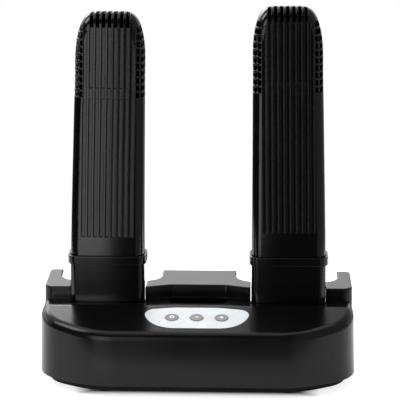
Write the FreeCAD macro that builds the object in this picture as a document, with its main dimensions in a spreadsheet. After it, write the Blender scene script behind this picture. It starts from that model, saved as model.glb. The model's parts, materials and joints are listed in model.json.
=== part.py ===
"""Boot dryer: a floor-standing warm-air dryer with two folding, extending arms.

Origin: centre of the footprint, on the ground. +X right, +Y to the rear, +Z up. Millimetres.
"""
import FreeCAD, Part
import math
import os
import re

import Sketcher

DOC = FreeCAD.newDocument("boot_dryer")
SHEET = DOC.addObject("Spreadsheet::Sheet", "Sizes")

SIZES = {
    # base shell, plan sizes at the lower edge of its wall
    "base_width": 323.0,
    "base_depth": 144.0,
    "front_flat_half": 108.0,
    "side_corner_y": 40.0,
    "front_bend_round": 90.0,
    "side_bend_round": 44.0,
    "rear_corner_round": 7.0,
    "wall_draft": 1.65,
    "wall_thick": 2.6,
    "skirt_bottom": 3.5,
    "wall_bottom": 11.5,
    # front deck
    "deck_level": 78.5,
    "deck_break_y": 13.7,
    "deck_slope": 11.8,
    "deck_round": 9.0,
    "deck_break_round": 30.0,
    # rear ledge
    "ledge_top": 91.6,
    "ledge_front_y": 4.0,
    "ledge_corner_round": 12.0,
    "ledge_edge_round": 1.8,
    "recess_back_y": 13.7,
    "recess_back_half": 28.0,
    "recess_front_half": 56.0,
    "recess_bend_round": 3.0,
    # notches that take the folded tubes
    "notch_inner_x": 39.2,
    "notch_outer_x": 145.4,
    "notch_front_y": 30.5,
    "notch_floor": 55.0,
    "notch_round": 20.0,
    # finger slot
    "slot_width": 60.5,
    "slot_front_y": 5.5,
    "slot_back_y": 15.0,
    "slot_depth": 18.0,
    "slot_round": 7.0,
    # bottom cover
    "skirt_inset": 10.0,
    "cover_thick": 2.5,
    "cover_gap": 0.4,
    "intake_slot_width": 3.0,
    "intake_slot_pitch": 6.0,
    "intake_half": 30.0,
    # feet
    "foot_x": 92.5,
    "foot_front_y": 48.0,
    "foot_rear_y": 50.0,
    "foot_diameter": 16.7,
    "foot_height": 4.3,
    "foot_round": 1.2,
    # screws that hold the bottom cover
    "cover_screw_shank": 2.9,
    "cover_screw_head": 6.0,
    "cover_screw_head_height": 2.0,
    "cover_screw_length": 14.0,
    "cover_boss_diameter": 8.4,
    # control panel
    "panel_centre_y": 37.8,
    "panel_top_half": 22.0,
    "panel_top_v": 20.2,
    "panel_wide_half": 56.5,
    "panel_wide_v": 15.0,
    "panel_low_half": 44.0,
    "panel_low_v": 20.8,
    "panel_top_round": 60.0,
    "panel_wide_round": 11.0,
    "panel_low_round": 30.0,
    "panel_thick": 1.3,
    "panel_proud": 0.2,
    "button_pitch": 25.1,
    "button_diameter": 13.6,
    "button_gap": 0.35,
    "button_proud": 0.9,
    "button_crown": 0.5,
    "button_skirt": 3.0,
    "icon_depth": 0.25,
    "icon_line": 0.9,
    "icon_size": 3.6,
    "icon_ring": 4.4,
    "icon_gap": 2.1,
    "icon_stroke": 2.4,
    "icon_stroke_y": 1.9,
    # control board
    "board_width": 84.0,
    "board_height": 26.0,
    "board_thick": 1.6,
    "board_drop": 10.0,
    "switch_side": 6.0,
    "switch_height": 3.5,
    "switch_stem": 3.4,
    "board_post_x": 37.5,
    "board_post_v": 8.0,
    # gentle swell of every flat face on the arms, as its slope at the corners
    "face_crown": 3.6,
    # necks and their hinges
    "neck_x": 93.0,
    "neck_width": 76.3,
    "neck_depth": 32.0,
    "neck_round": 7.0,
    "neck_top": 119.0,
    "neck_wall": 2.4,
    "hinge_y": 10.0,
    "hinge_z": 74.0,
    "hinge_pin": 5.0,
    "hinge_pin_length": 10.4,
    "hinge_gap": 0.05,
    "channel_gap": 0.5,
    "port_width": 58.0,
    "port_depth": 16.0,
    # collars
    "collar_width": 80.2,
    "collar_depth": 36.5,
    "collar_height": 9.0,
    "collar_round": 8.8,
    "collar_flange": 2.0,
    "slide_gap": 0.4,
    # tubes
    "tube_foot": 121.3,
    "tube_length": 251.9,
    "tube_width": 75.3,
    "tube_width_top": 70.8,
    "tube_depth": 31.0,
    "tube_depth_top": 26.5,
    "tube_round": 9.5,
    "tube_wall": 3.2,
    "tube_lean": 30.0,
    "tube_toe_in": 3.5,
    "tube_shoulder": 2.2,
    "tip_taper": 41.0,
    "tip_dome": 16.0,
    "spigot_width": 69.4,
    "spigot_depth": 26.4,
    "spigot_length": 33.0,
    "spigot_wall": 2.2,
    "right_extension": 6.0,
    "groove_pitch": 6.1,
    "groove_width": 3.6,
    "groove_depth": 2.1,
    "groove_start": 26.3,
    "outer_groove_drop": 18.0,
    "bridge_low": 165.4,
    "bridge_high": 176.4,
    "bridge_depth": 0.6,
    "tip_slot_drop": 15.0,
    "vent_first": 167.2,
    "vent_pitch": 7.25,
    "vent_height": 5.3,
    "vent_inner_x": 27.3,
    "vent_rib_x": 31.0,
    "vent_rib_thick": 1.3,
    "tube_boss": 7.0,
    "tube_screw_shank": 2.8,
    "tube_screw_head": 5.4,
    # fan
    "fan_y": 19.0,
    "fan_side": 80.0,
    "fan_height": 20.0,
    "fan_bore": 75.0,
    "fan_corner_round": 6.0,
    "fan_screw_offset": 35.5,
    "impeller_diameter": 72.0,
    "impeller_hub": 31.0,
    "impeller_height": 12.0,
    "motor_diameter": 26.0,
    "motor_height": 9.0,
    "fan_shaft": 3.0,
    "blade_lean": 38.0,
    "blade_thick": 1.8,
    "fan_plate": 2.2,
    "fan_screw": 3.0,
    # heater
    "heater_height": 10.0,
    "heater_opening": 66.0,
    "bar_pitch": 22.0,
    "bar_thick": 5.0,
    "fin_pitch": 5.0,
    "fin_thick": 0.5,
    "cutout_diameter": 8.0,
    "cutout_length": 5.0,
    # air duct
    "duct_top": 50.8,
    "duct_arm_depth": 27.0,
    "duct_reach": 126.0,
    "duct_wall": 1.8,
    # mains gland
    "gland_z": 24.0,
    "gland_diameter": 12.0,
    "gland_flange": 17.0,
    "gland_bore": 6.4,
    "gland_x": 66.0,
}

VENT_COUNT = 10
GROOVE_COUNT = 9
BLADE_COUNT = 7
SCREW_PLACES = ((-125, -36), (125, -36), (-52, -52), (52, -52), (-54, 54), (54, 54))
BUTTONS = ("power", "minus", "plus")
TUBE_DROPS = ("tube_length", 228, 196, 160, 124, 90, 62, 41, 32, 24, 16, 10, 6, 3, 1.2, 0.3)
BOSS_LEVELS = (150, 225, 300)

for row, (alias, size) in enumerate(SIZES.items(), start=1):
    SHEET.set("A%d" % row, alias)
    SHEET.set("B%d" % row, str(size))
    SHEET.setAlias("B%d" % row, alias)
DOC.recompute()


# ---------------------------------------------------------------- helpers

def formula(text):
    """Write a formula of size names as an expression on the sheet."""
    return re.sub(r"\b(?!deg\b)([a-z][a-z_0-9]*)\b(?!\()", r"Sizes.\1", str(text))


def value(text):
    """Number that a formula of size names gives."""
    return float(SHEET.evalExpression(formula(text)))


def bind(item, path, text):
    """Bind one property of an object to a formula of size names."""
    item.setExpression(path, formula(text))


def place(item, x="0", y="0", z="0", axis=None, angle="0"):
    """Bind an object's Placement: its base point, and a turn about an axis."""
    if axis is not None:
        turn = FreeCAD.Rotation(FreeCAD.Vector(*axis), value(angle))
        item.Placement = FreeCAD.Placement(FreeCAD.Vector(), turn)
        bind(item, "Placement.Rotation.Angle", angle)
    for letter, text in zip("xyz", (x, y, z)):
        bind(item, "Placement.Base." + letter, text)
    return item


def block(name, x, y, z):
    """Box between the formula pairs x, y and z."""
    item = DOC.addObject("Part::Box", name)
    for size, (low, high) in zip(("Length", "Width", "Height"), (x, y, z)):
        bind(item, size, "(%s) - (%s)" % (high, low))
    return place(item, x[0], y[0], z[0])


def round_bar(name, x, y, z, diameter, length, axis="Z"):
    """Cylinder that starts at a point and runs along +X, +Y or +Z."""
    item = DOC.addObject("Part::Cylinder", name)
    bind(item, "Radius", "(%s) / 2" % diameter)
    bind(item, "Height", length)
    if axis == "X":
        return place(item, x, y, z, (0, 1, 0), "90")
    if axis == "Y":
        return place(item, x, y, z, (-1, 0, 0), "90")
    return place(item, x, y, z)


def fuse(name, *items):
    item = DOC.addObject("Part::MultiFuse", name)
    item.Shapes = list(items)
    return item


def common(name, *items):
    item = DOC.addObject("Part::MultiCommon", name)
    item.Shapes = list(items)
    return item


def cut(name, base, *tools):
    """Base less one tool, or less several tools joined first."""
    item = DOC.addObject("Part::Cut", name)
    item.Base = base
    item.Tool = tools[0] if len(tools) == 1 else fuse(name + "_tools", *tools)
    return item


def group(name, *items):
    """Several separate solids that share one name."""
    item = DOC.addObject("Part::Compound", name)
    item.Links = list(items)
    return item


def mirrored(name, source):
    """Copy of an object on the other side of the YZ plane."""
    item = DOC.addObject("Part::Mirroring", name)
    item.Source = source
    item.Normal = FreeCAD.Vector(1, 0, 0)
    return item


def new_body(name):
    return DOC.addObject("PartDesign::Body", name)


def sketch_on(body, role, level="0"):
    """Empty sketch on one of the body's own planes, raised by a formula."""
    item = body.newObject("Sketcher::SketchObject", body.Name + "_sketch")
    plane = [one for one in body.Origin.OriginFeatures if one.Role == role][0]
    item.AttachmentSupport = [(plane, "")]
    item.MapMode = "FlatFace"
    bind(item, "AttachmentOffset.Base.z", level)
    return item


def turn_at(before, corner, after):
    """Unit vectors from a corner back to the one before it and on to the one after."""
    return (before - corner).normalize(), (after - corner).normalize()


def short_arc(centre, radius, first, last):
    """Arc about +Z from the first point anticlockwise to the last."""
    circle = Part.Circle(centre, FreeCAD.Vector(0, 0, 1), radius)
    return Part.ArcOfCircle(circle, circle.parameter(first), circle.parameter(last))


def outline(sketch, corners):
    """Closed outline through the corners (x, y, rounding), anticlockwise, all of them formulas.

    A rounding of None is a sharp corner. Each rounded corner keeps a construction point where
    its two lines would meet, and that point carries the sizes.
    """
    spots = [FreeCAD.Vector(value(x), value(y), 0) for x, y, _ in corners]
    count = len(corners)
    starts, ends, arcs = [], [], []
    left_turns = []
    for index, (_, _, rounding) in enumerate(corners):
        corner = spots[index]
        if rounding is None:
            ends.append(corner)
            starts.append(corner)
            arcs.append(None)
            left_turns.append(None)
            continue
        radius = value(rounding)
        back, ahead = turn_at(spots[index - 1], corner, spots[(index + 1) % count])
        half = back.getAngle(ahead) / 2
        reach = radius / math.tan(half)
        first = corner + back * reach
        last = corner + ahead * reach
        middle_way = (back + ahead).normalize()
        centre = corner + middle_way * (radius / math.sin(half))
        ends.append(first)
        starts.append(last)
        left_turns.append(back.cross(ahead).z < 0)
        if left_turns[index]:
            arcs.append(short_arc(centre, radius, first, last))
        else:
            arcs.append(short_arc(centre, radius, last, first))
    geometry = [Part.LineSegment(starts[i], ends[(i + 1) % count]) for i in range(count)]
    lines = list(range(count))
    arc_ids = {}
    point_ids = {}
    for index, arc in enumerate(arcs):
        if arc is not None:
            arc_ids[index] = len(geometry)
            geometry.append(arc)
    first_ids = sketch.addGeometry(geometry, False)
    for index in arc_ids:
        point_ids[index] = sketch.addGeometry(Part.Point(spots[index]), True)
    rules = []
    sized = []
    for index, (x, y, rounding) in enumerate(corners):
        before = lines[index - 1]
        after = lines[index]
        if rounding is None:
            rules.append(Sketcher.Constraint("Coincident", before, 2, after, 1))
            holder = (after, 1)
        else:
            arc = arc_ids[index]
            arc_first, arc_last = (1, 2) if left_turns[index] else (2, 1)
            rules.append(Sketcher.Constraint("Tangent", before, 2, arc, arc_first))
            rules.append(Sketcher.Constraint("Tangent", arc, arc_last, after, 1))
            rules.append(Sketcher.Constraint("PointOnObject", point_ids[index], 1, before))
            rules.append(Sketcher.Constraint("PointOnObject", point_ids[index], 1, after))
            holder = (point_ids[index], 1)
            sized.append((len(rules), rounding))
            rules.append(Sketcher.Constraint("Radius", arc, value(rounding)))
        spot = spots[index]
        for kind, text, number in (("DistanceX", x, spot.x), ("DistanceY", y, spot.y)):
            sized.append((len(rules), text))
            rules.append(Sketcher.Constraint(kind, -1, 1, holder[0], holder[1], number))
    sketch.addConstraint(rules)
    for number, text in sized:
        bind(sketch, "Constraints[%d]" % number, text)
    return sketch


def rectangle(sketch, width, depth, rounding=None, x="0", y="0"):
    """Rectangle about a centre, with equal corners."""
    low_x, high_x = "(%s) - (%s) / 2" % (x, width), "(%s) + (%s) / 2" % (x, width)
    low_y, high_y = "(%s) - (%s) / 2" % (y, depth), "(%s) + (%s) / 2" % (y, depth)
    places = ((low_x, low_y), (high_x, low_y), (high_x, high_y), (low_x, high_y))
    return outline(sketch, [(one_x, one_y, rounding) for one_x, one_y in places])


def crowned_rectangle(sketch, width, depth, rounding, x="0", y="0"):
    """Rectangle with equal corners, whose front and rear are wide arcs that flow into them."""
    width, depth, rounding = ("(%s)" % text for text in (width, depth, rounding))
    swell = "(%s + (%s / 2 - %s) / sin(face_crown))" % (rounding, width, rounding)
    reach = "(%s / 2 - %s)" % (width, rounding)
    rise = "(%s / 2 - %s + (%s - %s) * cos(face_crown))" % (depth, swell, swell, rounding)
    middle = FreeCAD.Vector(value(x), value(y), 0)
    corner = FreeCAD.Vector(value(reach), value(rise), 0)
    radius = value(rounding)
    wide_radius = value(swell)
    wide_rise = FreeCAD.Vector(0, value(depth) / 2 - wide_radius, 0)
    up = FreeCAD.Vector(0, 0, 1)
    lean = math.radians(value("face_crown"))
    quarter = math.pi / 2

    def arc(centre, size, first, last):
        return Part.ArcOfCircle(Part.Circle(middle + centre, up, size), first, last)

    def side(direction):
        edge_x = direction * (corner.x + radius)
        low = middle + FreeCAD.Vector(edge_x, -direction * corner.y, 0)
        high = middle + FreeCAD.Vector(edge_x, direction * corner.y, 0)
        return Part.LineSegment(low, high)

    rear_left = FreeCAD.Vector(-corner.x, corner.y, 0)
    edges = [side(1), arc(corner, radius, 0, quarter - lean),
             arc(wide_rise, wide_radius, quarter - lean, quarter + lean),
             arc(rear_left, radius, quarter + lean, 2 * quarter),
             side(-1), arc(-corner, radius, 2 * quarter, 3 * quarter - lean),
             arc(-wide_rise, wide_radius, 3 * quarter - lean, 3 * quarter + lean),
             arc(-rear_left, radius, 3 * quarter + lean, 4 * quarter)]
    sketch.addGeometry(edges, False)
    for index in range(len(edges)):
        after = (index + 1) % len(edges)
        sketch.addConstraint(Sketcher.Constraint("Tangent", index, 2, after, 1))
    corners = {1: (1, 1), 3: (-1, 1), 5: (-1, -1), 7: (1, -1)}
    for index, (sign_x, sign_y) in corners.items():
        rule = sketch.addConstraint(Sketcher.Constraint("Radius", index, radius))
        bind(sketch, "Constraints[%d]" % rule, rounding)
        for kind, text in (("DistanceX", "%s + %d * %s" % (x, sign_x, reach)),
                           ("DistanceY", "%s + %d * %s" % (y, sign_y, rise))):
            rule = sketch.addConstraint(Sketcher.Constraint(kind, -1, 1, index, 3, value(text)))
            bind(sketch, "Constraints[%d]" % rule, text)
    for index in (2, 6):
        rule = sketch.addConstraint(Sketcher.Constraint("Radius", index, wide_radius))
        bind(sketch, "Constraints[%d]" % rule, swell)
    return sketch


def circles(sketch, diameter, places):
    """Equal circles at (x, y) formulas."""
    for x, y in places:
        centre = FreeCAD.Vector(value(x), value(y), 0)
        up = FreeCAD.Vector(0, 0, 1)
        ring = sketch.addGeometry(Part.Circle(centre, up, value(diameter) / 2), False)
        for kind, text, number in (("DistanceX", x, centre.x), ("DistanceY", y, centre.y)):
            rule = sketch.addConstraint(Sketcher.Constraint(kind, -1, 1, ring, 3, number))
            bind(sketch, "Constraints[%d]" % rule, text)
        rule = sketch.addConstraint(Sketcher.Constraint("Diameter", ring, value(diameter)))
        bind(sketch, "Constraints[%d]" % rule, diameter)
    return sketch


def pad(body, sketch, length, symmetric=False, taper=None, down=False):
    """Material along the sketch's normal, or against it."""
    item = body.newObject("PartDesign::Pad", body.Name + "_pad")
    item.Profile = sketch
    item.SideType = "Symmetric" if symmetric else "One side"
    item.Reversed = down
    bind(item, "Length", length)
    if taper is not None:
        bind(item, "TaperAngle", taper)
    return item


def pocket(body, sketch, length=None, symmetric=False, down=True):
    """Recess along the sketch's normal turned round, or through everything."""
    before = solid_of(body).Volume
    item = body.newObject("PartDesign::Pocket", body.Name + "_pocket")
    item.Profile = sketch
    item.SideType = "Symmetric" if symmetric else "One side"
    item.Reversed = not down
    if length is None:
        item.Type = "ThroughAll"
    else:
        bind(item, "Length", length)
    after = solid_of(body).Volume
    if after > before - 0.01:
        raise RuntimeError("%s removes nothing" % item.Name)
    return item


def solid_of(body):
    """The body's shape as it stands, worked out afresh."""
    DOC.recompute()
    return body.Shape


def edge_names(shape, test):
    return ["Edge%d" % n for n, edge in enumerate(shape.Edges, start=1) if test(edge)]


def round_edges(body, radius, test):
    """Fillet on the edges of the body's tip that pass a test."""
    shape = solid_of(body)
    tip = body.Tip
    item = body.newObject("PartDesign::Fillet", body.Name + "_fillet")
    item.Base = (tip, edge_names(shape, test))
    bind(item, "Radius", radius)
    return item


def upright(edge):
    """True for an edge that rises more than it runs."""
    box = edge.BoundBox
    return box.ZLength > 2 * max(box.XLength, box.YLength)


def level_at(edge, height, slack=0.01):
    box = edge.BoundBox
    return box.ZMax < height + slack and box.ZMin > height - slack


# ---------------------------------------------------------------- base shell

def plan_corners(inset):
    """The shell's plan outline, moved inwards by a formula."""
    bend = "atan((base_depth / 2 - side_corner_y) / (base_width / 2 - front_flat_half))"
    side = "(base_width / 2 - (%s))" % inset
    rear = "(base_depth / 2 - (%s))" % inset
    front_x = "(front_flat_half - (%s) * tan(%s / 2))" % (inset, bend)
    side_y = "(side_corner_y - (%s) * tan(45 deg - %s / 2))" % (inset, bend)
    front_round = "front_bend_round - (%s)" % inset
    side_round = "side_bend_round - (%s)" % inset
    rear_round = "max(rear_corner_round - (%s); 1)" % inset
    return [
        ("0 - " + front_x, "0 - " + rear, front_round),
        (front_x, "0 - " + rear, front_round),
        (side, "0 - " + side_y, side_round),
        (side, rear, rear_round),
        ("0 - " + side, rear, rear_round),
        ("0 - " + side, "0 - " + side_y, side_round),
    ]


def deck_block(name, inset):
    """Lower part of the base under the deck, shrunk by an inset all round."""
    body = new_body(name)
    plan = outline(sketch_on(body, "XY_Plane", "wall_bottom"), plan_corners(inset))
    pad(body, plan, "deck_level - wall_bottom + 5", taper="0 - wall_draft")
    slope = sketch_on(body, "YZ_Plane")
    top = "deck_level - (%s)" % inset
    over = "deck_level + 20"
    front = "0 - deck_break_y - base_depth"
    rear = "base_depth"
    outline(slope, [("0 - deck_break_y", top, "deck_break_round"),
                    (rear, top, None),
                    (rear, over, None),
                    (front, over, None),
                    (front, "(%s) - base_depth * tan(deck_slope)" % top, None)])
    pocket(body, slope, "base_width * 2", symmetric=True)
    deck_foot = value("deck_level - base_depth * tan(deck_slope) / 2 - (%s)" % inset)

    def on_deck_rim(edge):
        low_end = min(vertex.Z for vertex in edge.Vertexes)
        across = edge.BoundBox.XLength > value("base_width") * 0.85
        inland = abs(edge.BoundBox.YMax) < value("base_depth") * 0.4
        return low_end > deck_foot and not upright(edge) and not (across and inland)

    round_edges(body, "deck_round - (%s)" % inset, on_deck_rim)
    return body


def ledge_block(name, inset):
    """Raised rear part of the base, shrunk by an inset all round."""
    body = new_body(name)
    side = "(base_width / 2 - (%s))" % inset
    rear = "(base_depth / 2 - (%s))" % inset
    front = "(ledge_front_y + (%s))" % inset
    back = "(recess_back_y + (%s))" % inset
    corner = "ledge_corner_round - (%s)" % inset
    rear_round = "max(rear_corner_round - (%s); 1)" % inset
    right = [("recess_back_half", back, "recess_bend_round"),
             ("recess_front_half", front, "recess_bend_round"),
             (side, front, corner),
             (side, rear, rear_round)]
    left = [("0 - " + x, y, rounding) for x, y, rounding in reversed(right)]
    sketch = outline(sketch_on(body, "XY_Plane", "wall_bottom"), left + right)
    pad(body, sketch, "ledge_top - wall_bottom - (%s)" % inset, taper="0 - wall_draft")
    return body


def notch_block(name, grow):
    """Space of the left notch, open to the rear, grown by a formula for its lining."""
    body = new_body(name)
    inner = "0 - (notch_inner_x - (%s))" % grow
    outer = "0 - (notch_outer_x + (%s))" % grow
    front = "notch_front_y - (%s)" % grow
    rounding = "notch_round + (%s)" % grow
    rear = "base_depth"
    corners = [(outer, front, rounding), (inner, front, rounding), (inner, rear, None), (outer, rear, None)]
    sketch = outline(sketch_on(body, "XY_Plane", "notch_floor - (%s)" % grow), corners)
    pad(body, sketch, "base_depth")
    return body


def channel_block(name, grow):
    """Channel that the left neck stands and turns in: round below, open above and behind."""
    body = new_body(name)
    reach = "(neck_depth / 2 + channel_gap + (%s))" % grow
    low = "hinge_z - %s" % reach
    high = "ledge_top + 30"
    front = "hinge_y - %s" % reach
    rear = "notch_front_y + 6"
    sketch = sketch_on(body, "YZ_Plane", "0 - neck_x")
    outline(sketch, [(front, low, reach + " - 0.01"),
                     (rear, low, None),
                     (rear, high, None),
                     (front, high, None)])
    pad(body, sketch, "neck_width + 2 * channel_gap + 2 * (%s)" % grow, symmetric=True)
    return body


def slot_block(name, grow):
    """Finger slot in the deck, in front of the recess."""
    body = new_body(name)
    middle = "(slot_back_y - slot_front_y) / 2"
    width = "slot_width + 2 * (%s)" % grow
    depth = "slot_back_y + slot_front_y + 2 * (%s)" % grow
    sketch = sketch_on(body, "XY_Plane", "deck_level - slot_depth - (%s)" % grow)
    rectangle(sketch, width, depth, "slot_round + (%s)" % grow, "0", middle)
    pad(body, sketch, "slot_depth + 2 * (%s)" % grow)
    return body


def tilted(item, v="0", w="0", x="0"):
    """Place an object in the panel's frame: v up the slope, w out of the deck."""
    y = "(0 - panel_centre_y + (%s) * cos(deck_slope) - (%s) * sin(deck_slope))" % (v, w)
    rise = "(panel_centre_y - deck_break_y) * tan(deck_slope)"
    z = "(deck_level - %s + (%s) * sin(deck_slope) + (%s) * cos(deck_slope))" % (rise, v, w)
    return place(item, x, y, z, (1, 0, 0), "deck_slope")


def panel_block(name, inset, low, high):
    """Solid on the panel's outline between two heights over the deck."""
    body = new_body(name)
    right = [("panel_low_half - (%s)" % inset, "0 - (panel_low_v - (%s))" % inset, "panel_low_round"),
             ("panel_wide_half - (%s)" % inset, "panel_wide_v - (%s)" % inset, "panel_wide_round"),
             ("panel_top_half", "panel_top_v - (%s)" % inset, "panel_top_round")]
    left = [("0 - (%s)" % x, y, rounding) for x, y, rounding in reversed(right)]
    sketch = outline(sketch_on(body, "XY_Plane", low), right + left)
    pad(body, sketch, "(%s) - (%s)" % (high, low))
    return tilted(body)


def button_x(index):
    return "(%d - 1) * button_pitch" % index


def board_posts(name, diameter, low, high):
    """Two posts in the panel's frame, one at each end of the control board."""
    posts = []
    for side in (-1, 1):
        post = round_bar("%s_%d" % (name, side + 1), "0", "0", "0", diameter,
                         "(%s) - (%s)" % (high, low))
        posts.append(tilted(post, "board_post_v", low, "%d * board_post_x" % side))
    return fuse(name, *posts)


def cover_bosses(name, diameter, low):
    """Upright bosses for the screws that hold the bottom cover."""
    bars = []
    for index, (x, y) in enumerate(SCREW_PLACES):
        bars.append(round_bar("%s_%d" % (name, index), x, y, low, diameter,
                              "deck_level - (%s)" % low))
    return fuse(name, *bars)


def make_base_shell():
    lower = deck_block("shell_lower", "0")
    upper = ledge_block("shell_upper", "0")
    solid = fuse("shell_solid", lower, upper)
    notch = notch_block("notch_left", "0")
    channel = channel_block("channel_left", "0")
    open_left = fuse("open_left", notch, channel)
    carved = cut("shell_carved", solid, open_left, mirrored("open_right", open_left))
    DOC.recompute()
    softened = DOC.addObject("Part::Fillet", "shell_softened")
    softened.Base = carved
    top = value("ledge_top")
    radius = value("ledge_edge_round")
    softened.Edges = [(n, radius, radius) for n, edge in enumerate(carved.Shape.Edges, start=1)
                      if level_at(edge, top)]
    lining_notch = notch_block("notch_lining_left", "wall_thick")
    lining_channel = channel_block("channel_lining_left", "wall_thick")
    lining_left = fuse("lining_left", lining_notch, lining_channel)
    hollow = cut(
        "shell_hollow",
        fuse("hollow_blocks", deck_block("hollow_lower", "wall_thick"),
             ledge_block("hollow_upper", "wall_thick")),
        lining_left,
        mirrored("lining_right", lining_left),
        slot_block("slot_lining", "wall_thick"),
        panel_block("panel_lining", "0 - 3", "0 - wall_thick - panel_thick", "0"),
        board_posts("board_bosses", "6", "0 - board_drop", "0"),
        cover_bosses("cover_bosses", "cover_boss_diameter", "wall_bottom + cover_thick"))
    shell = cut(
        "shell_walls", softened, hollow,
        slot_block("finger_slot", "0"),
        panel_block("panel_recess", "0 - 0.15", "0 - panel_thick + panel_proud", "5"))
    holes = []
    for index in range(len(BUTTONS)):
        hole = round_bar("button_hole_%d" % index, "0", "0", "0", "button_diameter + 2", "30")
        holes.append(tilted(hole, "0", "0 - 15", button_x(index)))
    for side in (-1, 1):
        start = "%d * neck_x - port_width / 2" % side
        port_y = ("hinge_y - port_depth / 2", "hinge_y + port_depth / 2")
        port_z = ("hinge_z - neck_depth / 2 - 10", "hinge_z")
        holes.append(block("port_%d" % (side + 1), (start, start + " + port_width"), port_y, port_z))
        pin_x = "%d * neck_x - neck_width / 2 - hinge_pin_length / 2" % side
        pin_length = "neck_width + hinge_pin_length"
        holes.append(round_bar("pin_hole_%d" % (side + 1), pin_x, "hinge_y", "hinge_z", "hinge_pin",
                               pin_length, "X"))
    for index, (x, y) in enumerate(SCREW_PLACES):
        holes.append(round_bar("pilot_%d" % index, x, y, "wall_bottom", "cover_screw_shank",
                               "cover_screw_length + 2"))
    holes.append(board_posts("board_pilots", "2.2", "0 - board_drop - 1", "0 - 4"))
    holes.append(round_bar("gland_hole", "gland_x", "base_depth / 2 - 10", "gland_z",
                           "gland_diameter", "20", "Y"))
    return cut("base_shell", shell, *holes)


# ---------------------------------------------------------------- bottom cover, feet, screws

def foot_places():
    return [("%d * foot_x" % side, y) for side in (-1, 1) for y in ("0 - foot_front_y", "foot_rear_y")]


def make_bottom_cover():
    """Pan with a flange that closes the shell from below, with intake slots under the fan."""
    pan = new_body("cover_pan")
    pan_sketch = outline(sketch_on(pan, "XY_Plane", "skirt_bottom"), plan_corners("skirt_inset"))
    pad(pan, pan_sketch, "wall_bottom + cover_thick - skirt_bottom")
    flange = new_body("cover_flange")
    rim = plan_corners("wall_thick + cover_gap")
    pad(flange, outline(sketch_on(flange, "XY_Plane", "wall_bottom"), rim), "cover_thick")
    hollow = new_body("cover_hollow")
    hollow_sketch = sketch_on(hollow, "XY_Plane", "skirt_bottom + cover_thick")
    outline(hollow_sketch, plan_corners("skirt_inset + cover_thick"))
    pad(hollow, hollow_sketch, "wall_bottom")
    posts = []
    for index, (x, y) in enumerate(SCREW_PLACES):
        posts.append(round_bar("cover_post_%d" % index, x, y, "skirt_bottom", "cover_boss_diameter + 2",
                               "wall_bottom + cover_thick - skirt_bottom"))
    tray = fuse("cover_tray", cut("cover_open", fuse("cover_solid", pan, flange), hollow), *posts)
    holes = []
    for index, (x, y) in enumerate(SCREW_PLACES):
        holes.append(round_bar("cover_hole_%d" % index, x, y, "0", "cover_screw_shank + 0.4", "30"))
        holes.append(round_bar("cover_sink_%d" % index, x, y, "0", "cover_screw_head + 0.6", "wall_bottom"))
    for index, (x, y) in enumerate(foot_places()):
        holes.append(round_bar("foot_seat_%d" % index, x, y, "0", "foot_diameter", "foot_height"))
    rows = int(value("intake_half * 2 / intake_slot_pitch"))
    for index in range(rows):
        y = "fan_y - intake_half + (%d + 0.5) * intake_slot_pitch" % index
        across = ("0 - intake_half", "intake_half")
        along = (y + " - intake_slot_width / 2", y + " + intake_slot_width / 2")
        through = ("0", "skirt_bottom + cover_thick + 1")
        holes.append(block("intake_slot_%d" % index, across, along, through))
    return cut("bottom_cover", tray, *holes)


def make_feet():
    feet = []
    for index, (x, y) in enumerate(foot_places()):
        foot = new_body("foot_%d" % index)
        sketch = circles(sketch_on(foot, "XY_Plane"), "foot_diameter", [("0", "0")])
        pad(foot, sketch, "foot_height")
        round_edges(foot, "foot_round", lambda edge: level_at(edge, 0))
        feet.append(place(foot, x, y))
    return group("rubber_feet", *feet)


def machine_screw(name, shank, head, head_height, length):
    """Screw along +Z: the head's face at 0, the tip at its length, with a cross recess."""
    body = new_body(name)
    pad(body, circles(sketch_on(body, "XY_Plane"), head, [("0", "0")]), head_height)
    pad(body, circles(sketch_on(body, "XY_Plane"), shank, [("0", "0")]), length)
    for wide, deep in (("0.7", "%s * 0.6" % head), ("%s * 0.6" % head, "0.7")):
        recess = rectangle(sketch_on(body, "XY_Plane"), wide, deep)
        pocket(body, recess, "%s * 0.6" % head_height, down=False)
    return body


def make_cover_screws():
    screws = []
    for index, (x, y) in enumerate(SCREW_PLACES):
        screw = machine_screw("cover_screw_%d" % index, "cover_screw_shank", "cover_screw_head",
                              "cover_screw_head_height", "cover_screw_length")
        screws.append(place(screw, x, y, "wall_bottom - cover_screw_head_height"))
    return group("cover_screws", *screws)


# ---------------------------------------------------------------- controls

def make_control_panel():
    plate = panel_block("panel_plate", "0", "0 - panel_thick + panel_proud", "panel_proud")
    holes = []
    for index in range(len(BUTTONS)):
        hole = round_bar("panel_hole_%d" % index, "0", "0", "0", "button_diameter + 2 * button_gap", "20")
        holes.append(tilted(hole, "0", "0 - 10", button_x(index)))
    return cut("control_panel", plate, *holes)


def button_icon(body, index):
    """Sunk line mark on a button: an open ring with a stroke, a minus or a plus."""
    top = "button_skirt + button_crown"
    if BUTTONS[index] == "power":
        ring = circles(sketch_on(body, "XY_Plane", top), "icon_ring", [("0", "0")])
        circles(ring, "icon_ring - 2 * icon_line", [("0", "0")])
        pocket(body, ring, "icon_depth")
        gap = rectangle(sketch_on(body, "XY_Plane", top), "icon_gap", "icon_line * 1.4", None,
                        "0", "icon_stroke_y")
        pad(body, gap, "icon_depth", down=True)
        stroke = rectangle(sketch_on(body, "XY_Plane", top), "icon_line", "icon_stroke", None,
                           "0", "icon_stroke_y")
        pocket(body, stroke, "icon_depth")
        return
    pocket(body, rectangle(sketch_on(body, "XY_Plane", top), "icon_size", "icon_line"), "icon_depth")
    if BUTTONS[index] == "plus":
        pocket(body, rectangle(sketch_on(body, "XY_Plane", top), "icon_line", "icon_size"), "icon_depth")


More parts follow.
